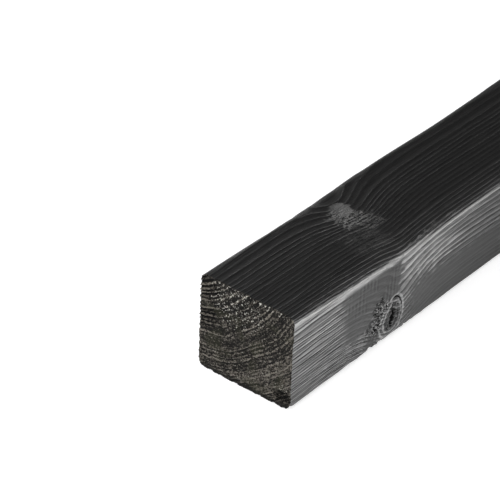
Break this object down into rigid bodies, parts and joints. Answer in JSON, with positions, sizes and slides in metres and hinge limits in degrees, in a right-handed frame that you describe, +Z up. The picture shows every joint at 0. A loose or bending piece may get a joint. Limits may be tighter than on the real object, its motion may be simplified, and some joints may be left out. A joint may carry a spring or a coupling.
{
  "type": "pine garden post",
  "caption": "Planed softwood post of square section with rounded arrises and square-sawn ends, stained black.",
  "frame": {"origin": "middle of the underside, on the level surface that the post lies on", "axes": "+X along the post from the foot end to the cap end, +Y across it to the left face, +Z up"},
  "size_m": [1.8, 0.07, 0.07],
  "materials": {
    "black_stained_pine": "planed and stained black, satin on the long faces, dull and rough on the sawn ends"
  },
  "bodies": {
    "root": {"post": "black_stained_pine"}
  },
  "joints": []
}
